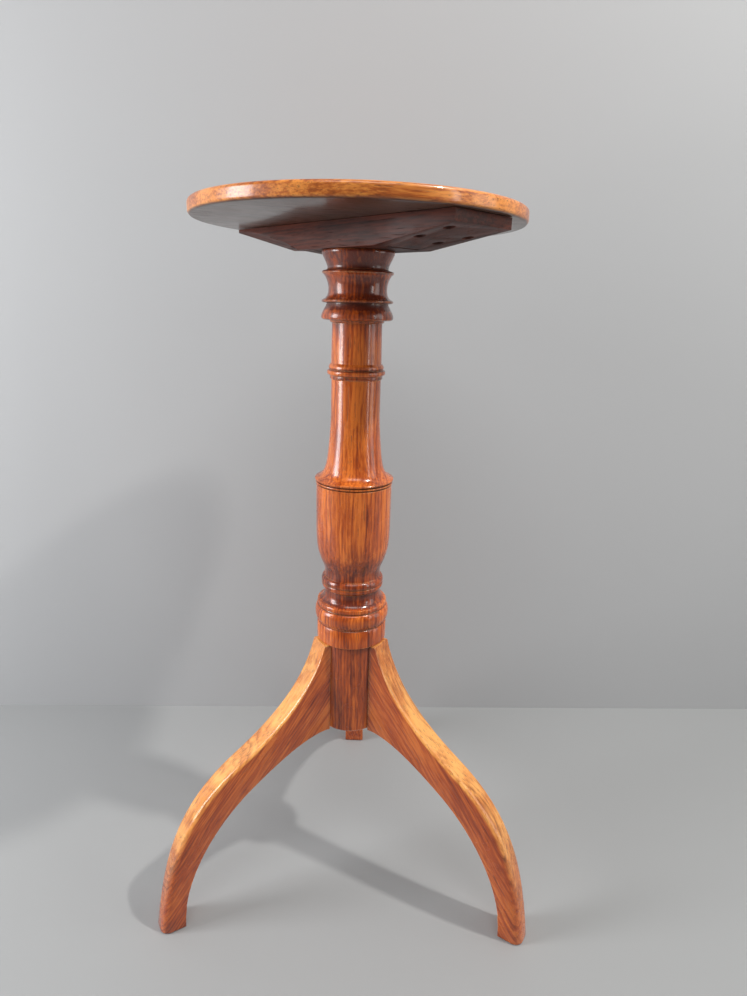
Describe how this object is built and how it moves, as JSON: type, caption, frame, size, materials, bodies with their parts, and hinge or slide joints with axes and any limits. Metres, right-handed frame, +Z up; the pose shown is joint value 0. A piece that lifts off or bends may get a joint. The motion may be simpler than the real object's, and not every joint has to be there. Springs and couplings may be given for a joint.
{
  "type": "tilt top table",
  "caption": "Small tripod table: round oak top that tilts on a turned column with three curved legs, and a brass sliding catch under the top.",
  "frame": {"origin": "on the floor, in the middle of the table's bounding box; the column's axis is in front of it at x = 0", "axes": "+Z up, the back leg points along +Y, +X to the right as seen from the front"},
  "size_m": [0.3774, 0.3653, 0.695],
  "materials": {
    "oak_top": "waxed and polished, worn at the rim",
    "oak_dark": "dull, hand planed",
    "oak_turned": "French polished",
    "oak_leg": "French polished, worn at the arrises",
    "iron": "dull, darkened",
    "brass": "aged, handled bright on the knob"
  },
  "bodies": {
    "stand": {"column": "oak_turned", "leg_left": "oak_leg", "leg_right": "oak_leg", "leg_back": "oak_leg", "pivot_block": "oak_dark", "tenon_wedge": "oak_dark"},
    "top": {"table_top": "oak_top", "bearer": "oak_dark", "pivot_pin": "iron", "bearer_screw_1": "iron", "bearer_screw_2": "iron", "bearer_screw_3": "iron", "bearer_screw_4": "iron", "bearer_screw_5": "iron", "bearer_screw_6": "iron", "bearer_screw_7": "iron", "bearer_screw_8": "iron", "catch_plate": "brass", "catch_screw_1": "brass", "catch_screw_2": "brass", "catch_screw_3": "brass", "catch_screw_4": "brass"},
    "catch": {"catch_bolt": "brass", "catch_knob": "brass"}
  },
  "joints": [
    {"name": "top_tilt", "type": "hinge", "parent": "stand", "child": "top", "pos_m": [0.0297, -0.06495, 0.669], "axis": [0.7071, 0.7071, 0], "range_deg": [0, 90]},
    {"name": "catch_slide", "type": "slide", "parent": "top", "child": "catch", "axis": [-0.7071, -0.7071, 0], "range_m": [0, 0.011]}
  ]
}
